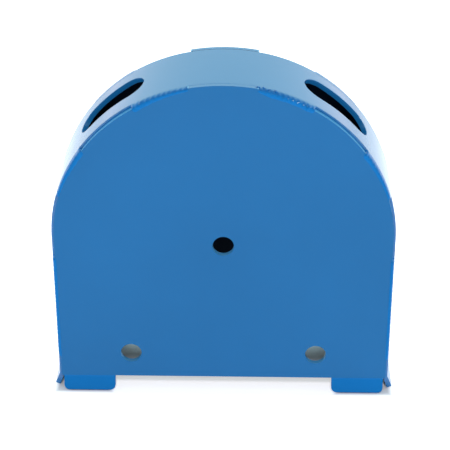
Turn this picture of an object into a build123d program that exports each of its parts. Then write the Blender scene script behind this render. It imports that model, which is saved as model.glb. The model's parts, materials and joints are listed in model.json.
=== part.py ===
from build123d import *
import math
import os

# Arched steel housing: a rolled strip closed by two lapped end plates and stitch welded.
# Units are millimetres. +Z is up, the front end plate faces -Y, and the origin is on the
# ground plane under the middle of the housing.

# ---- Driving dimensions -------------------------------------------------------------
# Rolled shell
ARCH_R = 152.4              # half the outside width of the arch, and its rise over its axis
CROWN_R = 170.7             # outer radius over the crown: the rolled arch is a little square
SHELL_WIDTH = 74.4          # width of the rolled strip, front to back
SHELL_T = 4.76              # thickness of the rolled strip
SIDE_H = 142.0              # straight side: arch axis above the end plates' bottom edge

# End plates
PLATE_T = 4.76              # thickness of each end plate
WELD_LEDGE = 2.3            # strip edge left showing outside an end plate's rim
KEY_WIDTH = 60.0            # crown stretch of the rim that comes up flush with the shell

# Feet and side lips
STAND_H = 15.0              # ground to the end plates' bottom edge
FOOT_FLARE = 17.0           # degrees that a foot splays outwards
LIP_FLARE = 22.0            # degrees that a side lip splays outwards
BEND_R = 4.0                # inside radius of the foot and lip bends
FOOT_BEND_DROP = 0.9        # end plate's bottom edge down to where a foot's bend starts
LIP_BEND_DROP = 0.2         # end plate's bottom edge down to where a lip's bend starts
LIP_CLEARANCE = 1.2         # lip's lowest edge above the ground the feet stand on
FOOT_WIDTH = 47.6
FOOT_INSET = 2.3            # foot's outer side in from the end plate's side
FOOT_CORNER_R = 4.8

# Holes in the end plates
CENTRE_HOLE_D = 19.05
CENTRE_HOLE_DROP = 2.4      # hole centre below the arch axis
BASE_HOLE_D = 19.05
BASE_HOLE_SPACING = 169.4
BASE_HOLE_UP = 25.4         # hole centres above the end plate's bottom edge

# Hand slots in the shell
SLOT_LENGTH = 74.0          # along the outside of the arch
SLOT_WIDTH = 33.5
SLOT_ANGLE = 40.8           # slot middle, degrees away from the crown
SLOT_SHIFT = 1.7            # slot middle behind the housing's mid-depth

# Stitch welds
ARCH_WELD_LENGTH = 52.0     # each weld on the arch, measured along the shell's outside
ARCH_WELD_OVERLAP = 3.6     # how far a bead on the arch washes over the end plate's face
ARCH_WELD_CROWN = 3.0       # height of its round over the line between its toes
SIDE_WELD_LENGTH = 107.0
SIDE_WELD_OVERLAP = 1.8
SIDE_WELD_CROWN = 2.6
SIDE_WELD_UP = 19.5         # lower end of a side weld above the end plate's bottom edge
FRONT_SHOULDER_WELD = 53.6  # upper end of a front shoulder weld, degrees from the crown
REAR_CROWN_WELD = 30.4      # the rear welds on the arch sit between the front ones
REAR_SHOULDER_WELD = 69.5

# ---- Worked-out places ----------------------------------------------------------------
ARCH_Z = STAND_H + SIDE_H                 # height of the arch axis
FOOT_BEND_Z = STAND_H - FOOT_BEND_DROP    # height where a foot starts to bend
LIP_BEND_Z = STAND_H - LIP_BEND_DROP      # height where a side lip starts to bend
SHELL_HALF = SHELL_WIDTH / 2
FACE_Y = SHELL_HALF + PLATE_T             # outer face of an end plate
PLATE_R = ARCH_R - WELD_LEDGE             # half the width of an end plate
FOOT_OUTER_X = PLATE_R - FOOT_INSET
FOOT_INNER_X = FOOT_OUTER_X - FOOT_WIDTH
KEY_HALF = KEY_WIDTH / 2

# The arch is three tangent arcs: one over the crown and one over each shoulder.
CROWN_ARC = math.asin((KEY_HALF - 1) / CROWN_R)           # the arcs meet just inside the key
SHOULDER_R = (ARCH_R - KEY_HALF + 1) / (1 - math.sin(CROWN_ARC))
CROWN_Z = ARCH_Z + ARCH_R - CROWN_R                       # centre of the crown arc
SHOULDER_X = ARCH_R - SHOULDER_R                          # centres of the shoulder arcs
SHOULDER_Z = CROWN_Z + (CROWN_R - SHOULDER_R) * math.cos(CROWN_ARC)
FRONT_CROWN_WELD = math.degrees(                          # starts beside the key
    math.asin((KEY_HALF - SHOULDER_X) / (SHOULDER_R - WELD_LEDGE)))
ARCH_WELD_SPAN = math.degrees(ARCH_WELD_LENGTH / SHOULDER_R)


def flare_outline(wall, bend_z, end_z, flare):
    """Cross-section of a wall that comes straight down and splays towards +u.

    The straight part's outer face is u = 0 and its inner face is u = -wall; v is height.
    The bend starts at bend_z. The end is cut square to the wall, its lowest corner at end_z.
    """
    angle = math.radians(flare)
    outer_r = BEND_R
    inner_r = BEND_R + wall
    centre = (BEND_R, bend_z)

    def on_bend(radius, turn):
        return (centre[0] - radius * math.cos(turn), centre[1] - radius * math.sin(turn))

    inner_end = on_bend(inner_r, angle)
    run = (inner_end[1] - end_z) / math.cos(angle)
    step = (run * math.sin(angle), -run * math.cos(angle))
    outer_end = on_bend(outer_r, angle)
    return {
        "outer_start": (0.0, bend_z),
        "outer_mid": on_bend(outer_r, angle / 2),
        "outer_end": outer_end,
        "outer_tip": (outer_end[0] + step[0], outer_end[1] + step[1]),
        "inner_tip": (inner_end[0] + step[0], inner_end[1] + step[1]),
        "inner_end": inner_end,
        "inner_mid": on_bend(inner_r, angle / 2),
        "inner_start": (-wall, bend_z),
    }


def splayed_face(plane, outline, origin_u, sign, top_v):
    """Filled flare outline on a plane, from height top_v down to its splayed end."""
    p = {name: (origin_u + sign * u, v) for name, (u, v) in outline.items()}
    top_outer = (origin_u, top_v)
    top_inner = (p["inner_start"][0], top_v)
    with BuildSketch(plane) as section:
        with BuildLine():
            Line(top_outer, p["outer_start"])
            ThreePointArc(p["outer_start"], p["outer_mid"], p["outer_end"])
            Polyline(p["outer_end"], p["outer_tip"], p["inner_tip"], p["inner_end"])
            ThreePointArc(p["inner_end"], p["inner_mid"], p["inner_start"])
            Line(p["inner_start"], top_inner)
            Line(top_inner, top_outer)
        make_face()
    return section.sketch


def arch_point(inset, turn, side):
    """Point of the arch's outline where it faces turn radians away from the crown."""
    if turn < CROWN_ARC:
        centre, radius = (0.0, CROWN_Z), CROWN_R - inset
    else:
        centre, radius = (side * SHOULDER_X, SHOULDER_Z), SHOULDER_R - inset
    return (centre[0] + side * radius * math.sin(turn), centre[1] + radius * math.cos(turn))


def arch_face(inset, base_z):
    """Filled arch on the XZ plane, inset from the shell's outside, straight down to base_z."""
    middle = (CROWN_ARC + math.pi / 2) / 2
    half = ARCH_R - inset
    joint, shoulder, spring = (
        {side: arch_point(inset, turn, side) for side in (-1, 1)}
        for turn in (CROWN_ARC, middle, math.pi / 2)
    )
    with BuildSketch(Plane.XZ) as outline:
        with BuildLine():
            Line((-half, base_z), spring[-1])
            ThreePointArc(spring[-1], shoulder[-1], joint[-1])
            ThreePointArc(joint[-1], arch_point(inset, 0.0, 1), joint[1])
            ThreePointArc(joint[1], shoulder[1], spring[1])
            Line(spring[1], (half, base_z))
            Line((half, base_z), (-half, base_z))
        make_face()
    return outline.sketch


def hand_slot(side):
    """Cutter for one hand slot, laid round the arch. side is -1 for left, +1 for right."""
    middle = math.radians(SLOT_ANGLE) * side
    end_r = SLOT_WIDTH / 2
    half_straight = (SLOT_LENGTH / 2 - end_r) / ARCH_R
    reach = SHELL_T * 3
    cutter = None
    for turn in (middle - half_straight, middle + half_straight):
        out = Vector(math.sin(turn), 0, math.cos(turn))
        foot = Vector(0, SLOT_SHIFT, ARCH_Z) + out * (ARCH_R - reach)
        end = extrude(Plane(origin=foot, z_dir=out) * Circle(end_r), amount=2 * reach)
        cutter = end if cutter is None else cutter + end
    start = Vector(math.sin(middle - half_straight), 0, math.cos(middle - half_straight))
    across = start.cross(Vector(0, 1, 0))
    blade = Plane(origin=Vector(0, SLOT_SHIFT, ARCH_Z), x_dir=start, z_dir=across)
    bar = blade * Pos(ARCH_R, 0, 0) * Rectangle(2 * reach, SLOT_WIDTH)
    axis = Axis((0, SLOT_SHIFT, ARCH_Z), (0, 1, 0))
    return cutter + revolve(bar, axis, math.degrees(2 * half_straight))


def rolled_shell():
    """The rolled strip: arch, straight sides, splayed side lips and two hand slots."""
    profile = arch_face(0.0, ARCH_Z) - arch_face(SHELL_T, ARCH_Z - SHELL_T)
    lip = flare_outline(SHELL_T, LIP_BEND_Z, LIP_CLEARANCE, LIP_FLARE)
    for side in (-1, 1):
        profile += splayed_face(Plane.XZ, lip, side * ARCH_R, side, ARCH_Z)
    shell = extrude(profile, amount=SHELL_HALF, both=True)
    for side in (-1, 1):
        shell -= hand_slot(side)
    return shell


def plate_blank():
    """Flat outline of an end plate without its feet's bends, on the XZ plane."""
    key = Plane.XZ * Pos(0, ARCH_Z + ARCH_R) * Rectangle(KEY_WIDTH, ARCH_R)
    return arch_face(WELD_LEDGE, STAND_H) + (arch_face(0.0, ARCH_Z) & key)


def foot(side):
    """One splayed foot of the front plate, with its two lower corners rounded."""
    middle = side * (FOOT_INNER_X + FOOT_OUTER_X) / 2
    plane = Plane(origin=(middle, 0, 0), x_dir=(0, 1, 0), z_dir=(1, 0, 0))
    outline = flare_outline(PLATE_T, FOOT_BEND_Z, 0.0, FOOT_FLARE)
    section = splayed_face(plane, outline, -FACE_Y, -1, STAND_H)
    bar = extrude(section, amount=FOOT_WIDTH / 2, both=True)
    angle = math.radians(FOOT_FLARE)
    into = Vector(0, math.cos(angle), -math.sin(angle))
    corners = [
        edge
        for edge in bar.edges().filter_by(GeomType.LINE)
        if abs(edge.tangent_at(0).dot(into)) > 0.999 and edge.center().Z < STAND_H / 2
    ]
    return fillet(corners, FOOT_CORNER_R)


def hole(x, z, diameter):
    """Cutter for a round hole straight through the front plate."""
    start = Plane(origin=(x, -FACE_Y - PLATE_T, z), z_dir=(0, 1, 0))
    return extrude(start * Circle(diameter / 2), amount=3 * PLATE_T)


def front_end_plate():
    """The front plate: keyed arch blank, two feet, a centre hole and two base holes."""
    sheet = extrude(plate_blank(), amount=PLATE_T / 2, both=True)
    plate = Pos(0, -FACE_Y + PLATE_T / 2, 0) * sheet
    for side in (-1, 1):
        plate += foot(side)
        plate -= hole(side * BASE_HOLE_SPACING / 2, STAND_H + BASE_HOLE_UP, BASE_HOLE_D)
    return plate - hole(0, ARCH_Z - CENTRE_HOLE_DROP, CENTRE_HOLE_D)


def bead_section(plane, overlap, crown_height):
    """Cross-section of a front weld bead; the plane's x is radial and its y is world Y.

    The bead fills the ledge outside the plate's rim and washes over the plate's face.
    """
    root = (PLATE_R, -SHELL_HALF)
    outer_toe = (ARCH_R, -SHELL_HALF)
    face_toe = (PLATE_R - overlap, -FACE_Y)
    corner = (PLATE_R, -FACE_Y)
    chord = (face_toe[0] - outer_toe[0], face_toe[1] - outer_toe[1])
    length = math.hypot(*chord)
    crown = (
        (outer_toe[0] + face_toe[0]) / 2 - chord[1] / length * crown_height,
        (outer_toe[1] + face_toe[1]) / 2 + chord[0] / length * crown_height,
    )
    with BuildSketch(plane) as section:
        with BuildLine():
            Line(root, outer_toe)
            ThreePointArc(outer_toe, crown, face_toe)
            Polyline(face_toe, corner, root)
        make_face()
    return section.sketch


def arch_weld(side, start_angle):
    """A front weld bead round the arch, going down from start_angle on one side."""
    turn = math.radians(start_angle) * side
    out = Vector(math.sin(turn), 0, math.cos(turn))
    centre = Vector(side * SHOULDER_X, 0, SHOULDER_Z)
    start = centre + out * (SHOULDER_R - ARCH_R)
    plane = Plane(origin=start, x_dir=out, z_dir=out.cross(Vector(0, 1, 0)))
    section = bead_section(plane, ARCH_WELD_OVERLAP, ARCH_WELD_CROWN)
    return revolve(section, Axis(centre, (0, 1, 0)), side * ARCH_WELD_SPAN)


def side_weld(side):
    """A front weld bead down one straight side."""
    low = STAND_H + SIDE_WELD_UP
    plane = Plane(origin=(0, 0, low), x_dir=(side, 0, 0), z_dir=(0, 0, side))
    section = bead_section(plane, SIDE_WELD_OVERLAP, SIDE_WELD_CROWN)
    return extrude(section, amount=side * SIDE_WELD_LENGTH)


def front_beads(crown_angle, shoulder_angle):
    """The front face's beads by name; left and right are as seen from the front."""
    beads = {}
    for hand, side in (("left", -1), ("right", 1)):
        beads[f"crown_{hand}"] = arch_weld(side, crown_angle)
        beads[f"shoulder_{hand}"] = arch_weld(side, shoulder_angle)
        beads[f"side_{hand}"] = side_weld(side)
    return beads


def build_nodes():
    """All sub-parts by node name. Rear parts are made at the front and mirrored back."""
    plate = front_end_plate()
    nodes = {
        "rolled_shell": rolled_shell(),
        "front_end_plate": plate,
        "rear_end_plate": mirror(plate, Plane.XZ),
    }
    for name, bead in front_beads(FRONT_CROWN_WELD, FRONT_SHOULDER_WELD).items():
        nodes[f"weld_front_{name}"] = bead
    for name, bead in front_beads(REAR_CROWN_WELD, REAR_SHOULDER_WELD).items():
        nodes[f"weld_rear_{name}"] = mirror(bead, Plane.XZ)
    return nodes


os.makedirs("parts", exist_ok=True)
for node_name, shape in build_nodes().items():
    export_step(shape, f"parts/{node_name}.step")
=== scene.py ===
import json
import math
import random

import bmesh
import bpy
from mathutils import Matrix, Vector, noise


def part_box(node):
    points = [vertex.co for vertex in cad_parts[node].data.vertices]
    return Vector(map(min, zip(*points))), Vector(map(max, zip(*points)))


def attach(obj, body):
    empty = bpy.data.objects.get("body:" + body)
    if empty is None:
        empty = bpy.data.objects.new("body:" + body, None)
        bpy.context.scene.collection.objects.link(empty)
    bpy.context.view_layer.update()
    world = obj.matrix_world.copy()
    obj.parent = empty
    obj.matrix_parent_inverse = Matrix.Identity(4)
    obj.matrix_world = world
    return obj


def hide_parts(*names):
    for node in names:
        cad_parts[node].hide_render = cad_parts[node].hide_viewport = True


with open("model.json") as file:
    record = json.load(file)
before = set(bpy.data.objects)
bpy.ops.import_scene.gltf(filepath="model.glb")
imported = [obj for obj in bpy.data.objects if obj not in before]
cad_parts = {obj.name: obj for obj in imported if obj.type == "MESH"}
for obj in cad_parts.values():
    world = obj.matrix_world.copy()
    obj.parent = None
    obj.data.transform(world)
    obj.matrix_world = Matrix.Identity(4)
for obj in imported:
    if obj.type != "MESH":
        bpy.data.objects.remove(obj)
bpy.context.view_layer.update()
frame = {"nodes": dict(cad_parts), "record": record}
RECORD = frame["record"]
MM = 0.001

# ---- Places read from the frame ---------------------------------------------------------
MOUNTS = {mount["name"]: mount for mount in RECORD["mounts"]}
SHELL_LOW, SHELL_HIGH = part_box("rolled_shell")
PLATE_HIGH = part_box("front_end_plate")[1]
SHELL_HALF = SHELL_HIGH.y                                # half the shell's depth
FACE_Y = -MOUNTS["front_base_holes"]["pos_m"][1]         # end plate's outer face
PLATE_T = FACE_Y - SHELL_HALF
PLATE_R = PLATE_HIGH.x                                   # half the width of an end plate
LEDGE = 2.3 * MM                                         # shell edge outside the rim
ARCH_R = PLATE_R + LEDGE                                 # half the arch's width, and its rise
ARCH_Z = SHELL_HIGH.z - ARCH_R                           # height of the arch axis

# ---- Arch: three tangent arcs, one over the crown and one over each shoulder ----------------
CROWN_R = 170.7 * MM                                     # outer radius over the crown
JOINT_X = 29.0 * MM                                      # where the arcs meet, from the middle
JOINT_TURN = math.asin(JOINT_X / CROWN_R)
SHOULDER_R = (ARCH_R - JOINT_X) / (1 - math.sin(JOINT_TURN))
CROWN_CENTRE = Vector((0.0, ARCH_Z + ARCH_R - CROWN_R))
SHOULDER_CENTRE = CROWN_CENTRE + (CROWN_R - SHOULDER_R) * Vector(
    (math.sin(JOINT_TURN), math.cos(JOINT_TURN)))

# ---- Rolled shell ------------------------------------------------------------------------
SHELL_T = PLATE_T
FLARE = math.radians(22.0)                               # splay of the side lips
BEND_R = 4.0 * MM                                        # inside radius of a lip's bend
BEND_STEPS = 6                                           # facets round a lip's bend
LIP_BEND_Z = 14.8 * MM                                   # where a side lip starts to bend
SLOT_LENGTH = 74.0 * MM
SLOT_WIDTH = 33.5 * MM
SLOT_ANGLE = math.radians(40.56)                         # way the slot's middle faces
SLOT_Y = 1.7 * MM                                        # slot middle behind mid-depth
SLOT_END_STEPS = 10                                      # facets in a quarter of a slot's end
SLOT_STEP = 5 * MM                                       # widest facet of its straight sides
NO_WIDTH = 1e-6                                          # half-width that counts as none
ROUNDING = 1e-7                                          # slack for rounding in a length
ARCH_STEP = math.radians(2.0)                            # widest facet of the arch
SIDE_STEP = 12 * MM                                      # widest facet of a straight side
PAINTED_EDGE = 0.55 * MM                                 # rounding of a painted cut edge
PAINTED_EDGE_STEPS = 3                                   # facets of that rounding
SHARP = math.radians(40)                                 # least angle of a cut edge

# ---- Shell and end plates: which of their materials a face gets ---------------------------
OUTER, INNER, RIM, KEY, FOOT = range(5)
MERGE = 0.00001                                          # points nearer than this are one
FLAT_ON = 0.99                                           # a face that looks along y
EDGE_ON = 0.05                                           # a face that looks across y

# ---- Weld beads ---------------------------------------------------------------------------
BEAD, SMOOTH, DULL = range(3)                            # which of its materials a face gets
BEAD_STEP = 0.4 * MM                                     # spacing of a bead's sections
BEAD_POINTS = 26                                         # points round a bead's outside
FOOT_STRIP = 15                                          # from here to the face toe: deep blue painted light, no gloss
CAD_WASH = 3.6 * MM                                      # CAD arch beads' overlap on the face
BURIED = 0.8 * MM                                        # depth of a bead's hidden underside
UNDER_EDGE = 0.45 * MM                                   # how far inside the shell it stays
SINK = 0.35 * MM                                         # depth to which an end sinks
KEY_LAP = 2.0 * MM                                       # front crown beads start over the key
END_RUN = 3.5 * MM                                       # length in which an end rounds off
END_WASH = 0.35                                          # share of the wash left at an end
WASH_WANDER = 0.35 * MM                                  # how far the face toe wanders
WASH_LENGTH = 4 * MM                                     # and over what length
TOE_PROUD = 0.02 * MM                                    # shell toe above the shell
TOE_BACK = 0.35 * MM                                     # shell toe behind the strip's edge
TOE_WANDER = 0.25 * MM                                   # how far the shell toe wanders
CREST_IN = 0.2 * MM                                      # crest in from the shell's outside
RIPPLE_PITCH = 4.8 * MM                                  # spacing of the crescents
RIPPLE_LAG = 1.3 * MM                                    # how far their ends trail
RIPPLE_DRIFT = 1.0 * MM                                  # how uneven their spacing is
DRIFT_LENGTH = 9 * MM                                    # and over what length
FINE_PITCH = 1.15 * MM                                   # spacing of the fine lines
FINE_LAG = 0.4                                           # their further lag, as a share
FINE_SHARE = 0.12                                        # their depth, as a share
LUMP_LENGTH = 6 * MM                                     # length of the lumps
LUMP_ACROSS = 1.2                                        # how much they vary across a bead
LUMP_SHARE = 0.9                                         # their depth, as a share
RIPPLE_LOW = 0.3                                         # share of the depth at the shell toe
RIPPLE_GROWTH = 1.1                                      # its growth up to the face toe
HOOK_HEIGHT = 0.8                                        # millimetres
HOOK_WIDTH = 0.75 * MM
HOOK_FORK_END = 0.25                                     # across the bead, where a fork closes
SPATTER_COUNT = 16
SPATTER_RUN = (-1.0, 17.0)                               # mm along the bead from its top
SPATTER_SIZE = (0.35, 0.85)                              # mm, radius
SPATTER_BACK = (-3.6, 0.6, -2.0)                         # mm behind the strip's edge: ends, peak
SPATTER_PROUD = 0.1                                      # share of its radius above the shell

# ---- Camera ------------------------------------------------------------------------------
VIEW_LENS = 124.8                                        # mm
VIEW_SENSOR = 36.0                                       # mm, width
VIEW_ELEVATION = math.radians(29.3)
VIEW_AZIMUTH = math.radians(1.14)
VIEW_DISTANCE = 8.977 * ARCH_R
VIEW_TARGET = Vector((0.0104 * ARCH_R, -FACE_Y, ARCH_Z + 0.126 * ARCH_R))

# ---- Paint ---------------------------------------------------------------------------------
PAINT_BLUE = (0.010, 0.145, 0.395)
# A darker copy of the shell's blue for the plates' upright faces: painted shade.
PLATE_SHADE_BLUE = (0.009, 0.131, 0.352)
# A more saturated, brighter copy of the blue for the weld beads: painted light.
WELD_LIT_BLUE = (0.004, 0.138, 0.430)
RIM_HIGHLIGHT_BLUE = (0.070, 0.320, 0.620)                         # pale blue on the plates' cut edges: a painted highlight
# Deeper, brighter blue for the splayed feet and the beads' face-toe strips: painted light,
# standing for how the bent feet catch light from above.
FOOT_LIT_BLUE = (0.007, 0.156, 0.460)
# Near-black blue for the inside faces of the shell and plates: painted shade, standing for the
# dark inside of the housing.
INNER_SHADE_BLUE = (0.002, 0.018, 0.050)
PATCH_SHADE = 0.04                                       # how uneven the shade is
PATCH_SCALE = 9.0
GLOSS_SCALE = 55.0
PEEL_SCALE = 420.0
PEEL_HEIGHT = 0.2 * MM
GRAIN_SCALE = 1900.0
GRAIN_HEIGHT = 0.1 * MM

# ---- Studio ---------------------------------------------------------------------------------
FLOOR_HALF = 6.0                                         # half the floor's side
FLOOR_COLOUR = (0.86, 0.80, 0.84, 1)
FLOOR_GLOW = 0.85                                        # painted light: the floor glows round the object
GAP_GLOW = 0.58                                          # painted light under the front plate, over its shadow
BACKDROP_GLOW = 0.90                                     # painted light: the floor glows well behind it
FRONT_FADE = (-0.052, -0.044)                            # y where the front glow dies away
GAP_FADE = (-0.025, 0.01)                                # y where the gap's glow dies away
GAP_SIDES = (0.100, 0.108)                               # x where it ends, just under the feet
REAR_GLOW_FULL = 0.12                                    # y where the rear glow is full
SIDE_FADE = 0.008                                        # width of the glow's edge at a side
BACKDROP_FADE = (0.20, 0.60)                             # y where the backdrop's glow grows
WALL_TURN = (-0.50, 0.15)                                # walls go from dim to bright, by y
WALL_GLOW = (0.12, 2.0)
WALL_TINTS = (                                           # by a direction's height
    (0.0, (1.0, 1.0, 1.0, 1)),
    (0.22, (0.70, 0.93, 0.91, 1)),
    (0.5, (0.59, 0.93, 0.90, 1)),
    (0.9, (0.22, 0.27, 0.27, 1)),
)
SOFTBOX_PLACE = (0.10, -2.90, 3.00)
SOFTBOX_AIM = (0, 0, 0.15)
SOFTBOX_SIZE = 0.6
SOFTBOX_POWER = 78                                       # watts


def add_node(tree, kind, **inputs):
    """A shader node with some of its inputs set by name."""
    node = tree.nodes.new(kind)
    for name, value in inputs.items():
        node.inputs[name.replace("_", " ")].default_value = value
    return node


def paint_material(name, colour, roughness, specular, peel, grain):
    """Gloss enamel: a little uneven in shade and gloss, with orange peel and fine grain."""
    material = bpy.data.materials.new(name)
    material.use_nodes = True
    tree = material.node_tree
    links = tree.links
    shader = tree.nodes["Principled BSDF"]
    shader.inputs["IOR"].default_value = 1.5
    shader.inputs["Specular IOR Level"].default_value = specular
    place = tree.nodes.new("ShaderNodeTexCoord")

    patches = add_node(tree, "ShaderNodeTexNoise", Scale=PATCH_SCALE, Detail=4.0, Roughness=0.55)
    links.new(place.outputs["Object"], patches.inputs["Vector"])
    shade = tree.nodes.new("ShaderNodeValToRGB")
    low, high = shade.color_ramp.elements
    low.position, high.position = 0.3, 0.7
    low.color = (*(c * (1 - PATCH_SHADE) for c in colour), 1)
    high.color = (*(c * (1 + PATCH_SHADE) for c in colour), 1)
    links.new(patches.outputs["Fac"], shade.inputs["Fac"])
    links.new(shade.outputs["Color"], shader.inputs["Base Color"])

    gloss = add_node(tree, "ShaderNodeTexNoise", Scale=GLOSS_SCALE, Detail=3.0, Roughness=0.6)
    links.new(place.outputs["Object"], gloss.inputs["Vector"])
    spread = add_node(tree, "ShaderNodeMapRange")
    spread.inputs["To Min"].default_value = roughness - 0.03
    spread.inputs["To Max"].default_value = roughness + 0.04
    links.new(gloss.outputs["Fac"], spread.inputs["Value"])
    links.new(spread.outputs["Result"], shader.inputs["Roughness"])

    peel_noise = add_node(tree, "ShaderNodeTexNoise", Scale=PEEL_SCALE, Detail=2.0,
                          Roughness=0.5)
    grain_noise = add_node(tree, "ShaderNodeTexNoise", Scale=GRAIN_SCALE, Detail=2.0,
                           Roughness=0.6)
    peel_bump = add_node(tree, "ShaderNodeBump", Strength=peel, Distance=PEEL_HEIGHT)
    grain_bump = add_node(tree, "ShaderNodeBump", Strength=grain, Distance=GRAIN_HEIGHT)
    for texture, bump in ((peel_noise, peel_bump), (grain_noise, grain_bump)):
        links.new(place.outputs["Object"], texture.inputs["Vector"])
        links.new(texture.outputs["Fac"], bump.inputs["Height"])
    links.new(peel_bump.outputs["Normal"], grain_bump.inputs["Normal"])
    links.new(grain_bump.outputs["Normal"], shader.inputs["Normal"])
    return material


def place_piece(name, mesh, materials, node):
    """Puts a finished mesh in the scene in a CAD node's stead."""
    for material in materials:
        mesh.materials.append(material)
    for face in mesh.polygons:
        face.use_smooth = True
    piece = bpy.data.objects.new(name, mesh)
    bpy.context.scene.collection.objects.link(piece)
    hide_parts(node)
    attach(piece, "root")
    return piece


def round_edges(piece):
    """Rounds a piece's cut edges as a coat of paint does, and keeps its flats flat."""
    bevel = piece.modifiers.new("painted_edge", "BEVEL")
    bevel.width = PAINTED_EDGE
    bevel.segments = PAINTED_EDGE_STEPS
    bevel.limit_method = "ANGLE"
    bevel.angle_limit = SHARP
    normals = piece.modifiers.new("flat_faces", "WEIGHTED_NORMAL")
    normals.weight = 100


# ---- Rolled shell --------------------------------------------------------------------------
def slot_half_width(along):
    """Half the slot's width at a distance along the arch from its middle, None outside it."""
    end_r = SLOT_WIDTH / 2
    past = abs(along) - (SLOT_LENGTH / 2 - end_r)
    if past > end_r + ROUNDING:
        return None
    return end_r if past <= 0 else math.sqrt(max(0.0, end_r ** 2 - past ** 2))


def even_steps(start, end, widest):
    """Values from start up to, but not including, end, no further apart than widest."""
    count = max(1, math.ceil((end - start) / widest))
    return [start + (end - start) * i / count for i in range(count)]


def slot_distances():
    """Distances along the arch from a slot's middle where its outline gets a point."""
    end_r = SLOT_WIDTH / 2
    half = SLOT_LENGTH / 2 - end_r
    turns = [math.pi / 2 * i / SLOT_END_STEPS for i in range(1, SLOT_END_STEPS + 1)]
    ends = [half + end_r * math.sin(turn) for turn in turns]
    return [-d for d in reversed(ends)] + even_steps(-half, half, SLOT_STEP) + [half] + ends


def arch_point(turn, inset):
    """Point (x, z) of the arch where it faces turn away from the crown, inset from outside."""
    out = Vector((math.sin(turn), math.cos(turn)))
    if turn < JOINT_TURN:
        return CROWN_CENTRE + out * (CROWN_R - inset)
    return SHOULDER_CENTRE + out * (SHOULDER_R - inset)


def half_profile():
    """The right half's stations from crown to lip: (outer, inner, slot half-width)."""
    stations = []
    slot = [(SLOT_ANGLE + d / SHOULDER_R, slot_half_width(d)) for d in slot_distances()]
    turns = [(turn, None) for turn in even_steps(0.0, slot[0][0], ARCH_STEP)]
    turns += slot
    turns += [(turn, None) for turn in even_steps(slot[-1][0], math.pi / 2, ARCH_STEP)[1:]]
    for turn, width in turns:
        stations.append((arch_point(turn, 0.0), arch_point(turn, SHELL_T), width))
    spring_z = SHOULDER_CENTRE.y
    for drop in even_steps(0.0, spring_z - LIP_BEND_Z, SIDE_STEP):
        z = spring_z - drop
        stations.append((Vector((ARCH_R, z)), Vector((ARCH_R - SHELL_T, z)), None))
    centre = Vector((ARCH_R + BEND_R, LIP_BEND_Z))
    for step in range(BEND_STEPS + 1):
        turn = FLARE * step / BEND_STEPS
        back = Vector((-math.cos(turn), -math.sin(turn)))
        stations.append((centre + back * BEND_R, centre + back * (BEND_R + SHELL_T), None))
    outer, inner, _ = stations[-1]
    down = Vector((math.sin(FLARE), -math.cos(FLARE)))
    run = down * ((inner.y - SHELL_LOW.z) / math.cos(FLARE))
    stations.append((outer + run, inner + run, None))
    return stations


def full_profile():
    """All stations from the left lip over the crown to the right lip."""
    right = half_profile()
    left = [(Vector((-o.x, o.y)), Vector((-i.x, i.y)), width) for o, i, width in right[1:]]
    return left[::-1] + right


def skin_points(bm, point, width):
    """A station's points on one skin, front to rear, with the slot's edges if it has any."""
    depths = [-SHELL_HALF]
    if width is not None:
        depths += [SLOT_Y] if width < NO_WIDTH else [SLOT_Y - width, SLOT_Y + width]
    return [bm.verts.new((point.x, y, point.y)) for y in depths + [SHELL_HALF]]


def strip_faces(bm, a, b, flip, material):
    """Faces between two stations' points on one skin, leaving the slot open."""
    if len(a) == 2 or len(b) == 2:
        rings = [a + b[::-1]]
    else:
        rings = [[a[0], a[1], b[1], b[0]], [a[-2], a[-1], b[-1], b[-2]]]
    for ring in rings:
        face = bm.faces.new(ring[::-1] if flip else ring)
        face.material_index = material


def rolled_shell():
    """The rolled strip with its slots, built as one closed skin of rulings."""
    bm = bmesh.new()
    rows = [(skin_points(bm, outer, width), skin_points(bm, inner, width))
            for outer, inner, width in full_profile()]
    for (outer_a, inner_a), (outer_b, inner_b) in zip(rows, rows[1:]):
        strip_faces(bm, outer_a, outer_b, False, OUTER)
        strip_faces(bm, inner_a, inner_b, True, INNER)
        bm.faces.new((outer_a[0], outer_b[0], inner_b[0], inner_a[0]))
        bm.faces.new((outer_b[-1], outer_a[-1], inner_a[-1], inner_b[-1]))
        if len(outer_a) > 2 and len(outer_b) > 2:
            bm.faces.new((outer_b[1], outer_a[1], inner_a[1], inner_b[1]))
            bm.faces.new((outer_a[-2], outer_b[-2], inner_b[-2], inner_a[-2]))
    for outer, inner in (rows[0], rows[-1]):
        bm.faces.new((outer[0], outer[1], inner[1], inner[0]))
    bmesh.ops.recalc_face_normals(bm, faces=bm.faces)
    mesh = bpy.data.meshes.new("rolled_shell_body")
    bm.to_mesh(mesh)
    bm.free()
    # The inside skin gets the near-black painted shade.
    piece = place_piece("rolled_shell_body", mesh, (shell_paint, inner_painted_shade), "rolled_shell")
    round_edges(piece)


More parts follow.
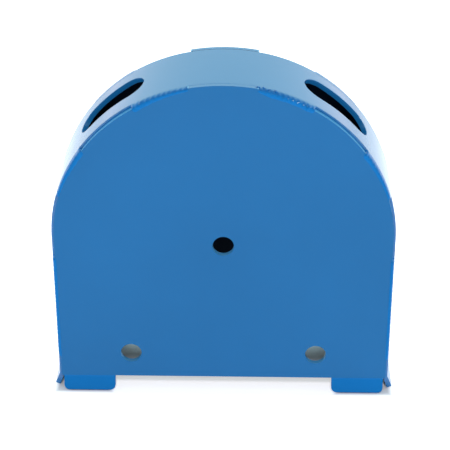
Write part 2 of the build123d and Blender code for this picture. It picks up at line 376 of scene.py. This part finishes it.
# ---- End plates ----------------------------------------------------------------------------
def end_plate(node, out_y):
    """An end plate: paler cut rim (painted highlight), near-black inner face (painted shade),
    deeper blue feet (painted light), rounded edges.
    """
    bm = bmesh.new()
    bm.from_mesh(frame["nodes"][node].data)
    bmesh.ops.remove_doubles(bm, verts=bm.verts, dist=MERGE)
    for face in bm.faces:
        facing = out_y * face.normal.y
        middle = face.calc_center_median()
        # Faces are coloured by place: feet in a lit deeper blue (painted light), inner face
        # near-black (painted shade), cut rim pale (painted highlight).
        if middle.z < LIP_BEND_Z:
            face.material_index = FOOT
        elif facing < -FLAT_ON:
            face.material_index = INNER
        elif abs(facing) < EDGE_ON:
            on_key = abs(middle.x) < JOINT_X and middle.z > SHOULDER_CENTRE.y
            face.material_index = KEY if on_key else RIM
    mesh = bpy.data.meshes.new(node + "_body")
    bm.to_mesh(mesh)
    bm.free()
    materials = (plate_paint, inner_painted_shade, rim_painted_highlight, shell_paint, deep_blue_painted_light)
    piece = place_piece(node + "_body", mesh, materials, node)
    round_edges(piece)


# ---- Weld beads ----------------------------------------------------------------------------
def wobble(seed, *place):
    """Smooth repeatable noise from -1 to 1."""
    x, y = (*place, 0.0)[:2]
    return noise.noise(Vector((x, y, seed * 7.31)))


def ripple(s, across, depth, seed):
    """Height in millimetres of a bead's crescents at s along it and across it, -1 to 1."""
    lag = RIPPLE_LAG * across ** 2
    warped = s + lag + RIPPLE_DRIFT * wobble(seed, s / DRIFT_LENGTH)
    crescent = math.cos(2 * math.pi * warped / RIPPLE_PITCH)
    fine = math.cos(2 * math.pi * (warped + FINE_LAG * lag) / FINE_PITCH)
    lumps = wobble(seed + 3, s / LUMP_LENGTH, LUMP_ACROSS * across)
    return depth * (crescent + FINE_SHARE * fine + LUMP_SHARE * lumps)


def hook_height(s, across, at, fork):
    """Height in millimetres of a raised ridge over the bead where the arc was struck."""
    spread = fork * max(0.0, HOOK_FORK_END - across)
    arms = [math.exp(-((s - at + arm * spread) / HOOK_WIDTH) ** 2) for arm in (-1, 1)]
    return HOOK_HEIGHT * max(arms)


def corner_path(share, wash, sink):
    """Point on the buried corner under a bead, as (radial, outward) from the rim's edge."""
    corners = [(LEDGE, -PLATE_T - sink), (-sink, -PLATE_T - sink), (-sink, -sink), (-wash, -sink)]
    runs = [math.dist(a, b) for a, b in zip(corners, corners[1:])]
    left = share * sum(runs)
    for a, b, run in zip(corners, corners[1:], runs):
        if left <= run:
            break
        left -= run
    part = min(1.0, left / run)
    return a[0] + (b[0] - a[0]) * part, a[1] + (b[1] - a[1]) * part


def bead_round(s, length, wash, recipe, seed):
    """A bead's section at s: its outside from shell toe to face toe, then its underside."""
    end = min(s, length - s) / END_RUN
    taper = math.sqrt(1 - (1 - min(1.0, end)) ** 2)
    wash *= END_WASH + (1 - END_WASH) * taper
    wash += WASH_WANDER * wobble(seed, s / WASH_LENGTH)
    toe_back = TOE_BACK + TOE_WANDER * wobble(seed + 1, s / LUMP_LENGTH) + recipe["back"]
    toe = Vector((LEDGE + TOE_PROUD, -PLATE_T - toe_back))
    crest = Vector((LEDGE - CREST_IN + recipe["lift"], recipe["proud"]))
    foot = Vector((-wash, 0.0))
    section = []
    for i in range(BEAD_POINTS):
        share = i / (BEAD_POINTS - 1)
        across = 2 * share - 1
        slope = (crest - toe) * (1 - share) + (foot - crest) * share
        normal = Vector((slope.y, -slope.x)).normalized()
        over = toe * (1 - share) ** 2 + crest * 2 * share * (1 - share) + foot * share ** 2
        rise = ripple(s, across, recipe["ripple"], seed)
        rise += sum(hook_height(s, across, at, fork) for at, fork in recipe["hooks"])
        rise *= math.sin(math.pi * share) * (RIPPLE_LOW + RIPPLE_GROWTH * share)
        over += normal * (rise * MM)
        under = Vector(corner_path(share, wash, SINK))
        section.append(under.lerp(over, taper))
    section += [(-wash, -BURIED), (-BURIED, -BURIED), (-BURIED, -PLATE_T - BURIED),
                (LEDGE - UNDER_EDGE, -PLATE_T - BURIED)]
    return section


def arch_rim(side, start, out_y):
    """Gives the rim point and the radial direction at a distance down the arch from start."""
    def place(s):
        turn = start + s / SHOULDER_R
        radial = Vector((side * math.sin(turn), 0, math.cos(turn)))
        point = arch_point(turn, LEDGE)
        return Vector((side * point.x, out_y * FACE_Y, point.y)), radial
    return place


def side_rim(side, top, out_y):
    """Gives the rim point and the radial direction at a distance down a straight side."""
    def place(s):
        return Vector((side * PLATE_R, out_y * FACE_Y, top - s)), Vector((side, 0, 0))
    return place


def weld_bead(node, place, length, out_y, recipe, seed):
    """One rippled bead along the rim, as a closed mesh in its CAD node's stead."""
    out = Vector((0, out_y, 0))
    bm = bmesh.new()
    rings = []
    count = round(length / BEAD_STEP)
    for i in range(count + 1):
        s = length * i / count
        rim, radial = place(s)
        section = bead_round(s, length, recipe["wash"](s / length), recipe, seed)
        rings.append([bm.verts.new(rim + radial * r + out * d) for r, d in section])
    for a, b in zip(rings, rings[1:]):
        for i in range(len(a)):
            face = bm.faces.new((a[i - 1], a[i], b[i], b[i - 1]))
            if 0 < i <= recipe["flush"]:
                face.material_index = SMOOTH
            # Strips down to the face toe take the feet's deep blue painted light, with almost no
            # gloss.
            elif FOOT_STRIP <= i < BEAD_POINTS:
                face.material_index = DULL
            else:
                face.material_index = BEAD
        for toe in (0, BEAD_POINTS - 1):
            bm.edges.get((a[toe], b[toe])).smooth = False
    bm.faces.new(rings[0])
    bm.faces.new(rings[-1])
    if recipe["spatter"]:
        add_spatter(bm, place, out_y, seed)
    bmesh.ops.recalc_face_normals(bm, faces=bm.faces)
    mesh = bpy.data.meshes.new(node + "_bead")
    bm.to_mesh(mesh)
    bm.free()
    place_piece(node + "_bead", mesh, (weld_paint, shell_paint, deep_blue_painted_light), node)


def add_spatter(bm, place, out_y, seed):
    """Small balls of weld spatter on the shell and the bead, round the bead's upper end."""
    chance = random.Random(seed)
    for _ in range(SPATTER_COUNT):
        rim, radial = place(chance.uniform(*SPATTER_RUN) * MM)
        size = chance.uniform(*SPATTER_SIZE) * MM
        back = PLATE_T + chance.triangular(*SPATTER_BACK) * MM
        centre = rim + radial * (LEDGE + SPATTER_PROUD * size) - Vector((0, out_y * back, 0))
        ball = bmesh.ops.create_icosphere(bm, subdivisions=2, radius=size)
        bmesh.ops.translate(bm, verts=ball["verts"], vec=centre)


def arch_span(node):
    """(start angle, length) of a CAD bead on the arch, from its box."""
    low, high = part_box(node)
    inner_r = SHOULDER_R - LEDGE - CAD_WASH
    start = math.asin((min(abs(low.x), abs(high.x)) - SHOULDER_CENTRE.x) / inner_r)
    end = math.acos((low.z - SHOULDER_CENTRE.y) / inner_r)
    return start, (end - start) * SHOULDER_R


def growing(start, end):
    """Wash that changes evenly from a bead's upper end to its lower end."""
    return lambda share: start + (end - start) * share


def quick_start(low, full, run):
    """Wash that starts low and is full from a share of the length onwards."""
    return lambda share: low + (full - low) * min(1.0, share / run)


def bead_recipe(wash, proud=2.2, ripple_depth=0.26, lift=0.0, back=0.0, hooks=(),
                spatter=False, flush=4):
    """How a bead looks. proud, lift, back and ripple_depth are in millimetres.

    wash gives its reach over the face along its length, proud and lift raise its crest
    outwards and radially, and back takes its toe back over the shell. hooks are the struck
    places, each a distance and a fork. flush is how many strips by the shell toe are painted
    over smooth with the shell.
    """
    return {"wash": wash, "proud": proud * MM, "ripple": ripple_depth, "lift": lift * MM,
            "back": back * MM, "hooks": hooks, "spatter": spatter, "flush": flush}


RECIPES = {
    "front_crown_left": bead_recipe(
        growing(0.4 * MM, 3.9 * MM), hooks=((46 * MM, 0.0022),)),
    "front_crown_right": bead_recipe(
        quick_start(0.6 * MM, 3.5 * MM, 0.22), hooks=((47 * MM, 0.0015),), spatter=True),
    "front_shoulder": bead_recipe(
        growing(3.5 * MM, 0.5 * MM), ripple_depth=0.10, flush=2, hooks=((1.8 * MM, 0.0),)),
    "rear": bead_recipe(
        growing(2.6 * MM, 3.4 * MM), ripple_depth=0.08, lift=1.1, back=3.0),
    "side": bead_recipe(
        growing(1.3 * MM, 1.1 * MM), ripple_depth=0.12, hooks=((2.2 * MM, 0.0),)),
}


def recipe_for(end, stretch, hand):
    """The recipe of a bead by its place."""
    if stretch == "side":
        return RECIPES["side"]
    if end == "rear":
        return RECIPES["rear"]
    if stretch == "crown":
        return RECIPES[f"front_crown_{hand}"]
    return RECIPES["front_shoulder"]


def weld_beads():
    """All twelve beads, each where its CAD node is."""
    seed = 1
    for end, out_y in (("front", -1), ("rear", 1)):
        for stretch in ("crown", "shoulder", "side"):
            for hand, side in (("left", -1), ("right", 1)):
                node = f"weld_{end}_{stretch}_{hand}"
                if stretch == "side":
                    low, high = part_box(node)
                    place, length = side_rim(side, high.z, out_y), high.z - low.z
                else:
                    start, length = arch_span(node)
                    lead = KEY_LAP if stretch == "crown" and end == "front" else 0.0
                    place, length = arch_rim(side, start - lead / SHOULDER_R, out_y), length + lead
                weld_bead(node, place, length, out_y, recipe_for(end, stretch, hand), seed)
                seed += 1


# ---- Floor, light and camera ---------------------------------------------------------------
def ramp(tree, socket, start, end, low, high):
    """A smooth ramp of a socket's value, from low at start to high at end."""
    node = add_node(tree, "ShaderNodeMapRange", From_Min=start, From_Max=end,
                    To_Min=low, To_Max=high)
    node.interpolation_type = "SMOOTHSTEP"
    tree.links.new(socket, node.inputs["Value"])
    return node.outputs["Result"]


def combine(tree, operation, *sockets):
    """A math node over one or two sockets."""
    node = tree.nodes.new("ShaderNodeMath")
    node.operation = operation
    for i, socket in enumerate(sockets):
        tree.links.new(socket, node.inputs[i])
    return node.outputs["Value"]


def add_floor():
    """A pale floor that glows (painted light) all round the object and in its front gap, where the
    plate's shadow falls, brightest well behind.
    """
    half = FLOOR_HALF
    mesh = bpy.data.meshes.new("studio_floor")
    mesh.from_pydata([(-half, -half, 0), (half, -half, 0), (half, half, 0), (-half, half, 0)],
                     [], [(0, 1, 2, 3)])
    floor = bpy.data.objects.new("studio_floor", mesh)
    bpy.context.scene.collection.objects.link(floor)
    material = bpy.data.materials.new("floor_paper")
    material.use_nodes = True
    tree = material.node_tree
    shader = tree.nodes["Principled BSDF"]
    shader.inputs["Base Color"].default_value = FLOOR_COLOUR
    shader.inputs["Roughness"].default_value = 0.9
    shader.inputs["Specular IOR Level"].default_value = 0.1
    # The floor's glow is painted light, masked round the object and its front gap.
    shader.inputs["Emission Color"].default_value = (1.0, 1.0, 1.0, 1)
    place = tree.nodes.new("ShaderNodeTexCoord")
    split = tree.nodes.new("ShaderNodeSeparateXYZ")
    tree.links.new(place.outputs["Object"], split.inputs["Vector"])
    across = combine(tree, "ABSOLUTE", split.outputs["X"])
    front = ramp(tree, split.outputs["Y"], *FRONT_FADE, FLOOR_GLOW, 0.0)
    behind = ramp(tree, split.outputs["Y"], SHELL_HALF, REAR_GLOW_FULL, 0.0, FLOOR_GLOW)
    beside = ramp(tree, across, ARCH_R, ARCH_R + SIDE_FADE, 0.0, FLOOR_GLOW)
    between_feet = ramp(tree, across, *GAP_SIDES, 1.0, 0.0)
    under_front = combine(tree, "MULTIPLY", between_feet,
                          ramp(tree, split.outputs["Y"], *GAP_FADE, GAP_GLOW, 0.0))
    backdrop = ramp(tree, split.outputs["Y"], *BACKDROP_FADE, 0.0, BACKDROP_GLOW)
    glow = front
    for part in (behind, beside, under_front, backdrop):
        glow = combine(tree, "MAXIMUM", glow, part)
    tree.links.new(glow, shader.inputs["Emission Strength"])
    mesh.materials.append(material)


def add_world():
    """Studio walls: bright behind and beside the object, dim in front and dark overhead."""
    world = bpy.data.worlds.new("studio")
    bpy.context.scene.world = world
    world.use_nodes = True
    tree = world.node_tree
    links = tree.links
    place = tree.nodes.new("ShaderNodeTexCoord")
    split = tree.nodes.new("ShaderNodeSeparateXYZ")
    links.new(place.outputs["Generated"], split.inputs["Vector"])
    level = add_node(tree, "ShaderNodeMapRange", From_Min=WALL_TURN[0], From_Max=WALL_TURN[1],
                     To_Min=WALL_GLOW[0], To_Max=WALL_GLOW[1])
    links.new(split.outputs["Y"], level.inputs["Value"])
    links.new(level.outputs["Result"], tree.nodes["Background"].inputs["Strength"])
    tint = tree.nodes.new("ShaderNodeValToRGB")
    low, high = tint.color_ramp.elements
    low.position, low.color = WALL_TINTS[0]
    high.position, high.color = WALL_TINTS[-1]
    for height, colour in WALL_TINTS[1:-1]:
        tint.color_ramp.elements.new(height).color = colour
    links.new(split.outputs["Z"], tint.inputs["Fac"])
    links.new(tint.outputs["Color"], tree.nodes["Background"].inputs["Color"])


def add_softbox(name, place, aim, size, power):
    """A square area light at place, pointing at aim."""
    lamp = bpy.data.lights.new(name, "AREA")
    lamp.size = size
    lamp.energy = power
    obj = bpy.data.objects.new(name, lamp)
    obj.location = place
    obj.rotation_euler = (Vector(aim) - Vector(place)).to_track_quat("-Z", "Y").to_euler()
    bpy.context.scene.collection.objects.link(obj)


def add_camera():
    """The camera, at the photograph's viewing angle."""
    data = bpy.data.cameras.new("camera")
    data.lens = VIEW_LENS
    data.sensor_width = VIEW_SENSOR
    camera = bpy.data.objects.new("camera", data)
    flat = math.cos(VIEW_ELEVATION)
    away = Vector((math.sin(VIEW_AZIMUTH) * flat, -math.cos(VIEW_AZIMUTH) * flat,
                   math.sin(VIEW_ELEVATION)))
    camera.location = VIEW_TARGET + away * VIEW_DISTANCE
    camera.rotation_euler = (-away).to_track_quat("-Z", "Y").to_euler()
    bpy.context.scene.collection.objects.link(camera)
    bpy.context.scene.camera = camera


shell_paint = paint_material("shell_paint", PAINT_BLUE,
                             roughness=0.16, specular=0.6, peel=0.06, grain=0.03)
# Painted shade: the plates' faces get a darker copy of the shell's blue.
plate_paint = paint_material("plate_paint", PLATE_SHADE_BLUE,
                             roughness=0.22, specular=0.15, peel=0.10, grain=0.05)
# Painted light: the beads get a more saturated, brighter copy of the blue.
weld_paint = paint_material("weld_paint", WELD_LIT_BLUE,
                            roughness=0.13, specular=0.50, peel=0.06, grain=0.04)
# Painted highlight: the plates' cut edges get a paler blue so they read as bright lines.
rim_painted_highlight = paint_material("rim_painted_highlight", RIM_HIGHLIGHT_BLUE,
                           roughness=0.40, specular=0.6, peel=0.10, grain=0.05)
# Painted light: the same paint, deeper and brighter blue, for the feet's lit bend and the beads'
# lower strips.
deep_blue_painted_light = paint_material("deep_blue_painted_light", FOOT_LIT_BLUE,
                            roughness=0.25, specular=0.03, peel=0.10, grain=0.05)
# Painted shade: the inside faces are coloured near-black so the housing's inside looks dark.
inner_painted_shade = paint_material("inner_painted_shade", INNER_SHADE_BLUE,
                             roughness=0.55, specular=0.2, peel=0.15, grain=0.15)
rolled_shell()
end_plate("front_end_plate", -1)
end_plate("rear_end_plate", 1)
weld_beads()
add_floor()
add_world()
add_softbox("high_front_softbox", SOFTBOX_PLACE, SOFTBOX_AIM, SOFTBOX_SIZE, SOFTBOX_POWER)
add_camera()
bpy.context.scene.view_settings.view_transform = "Standard"
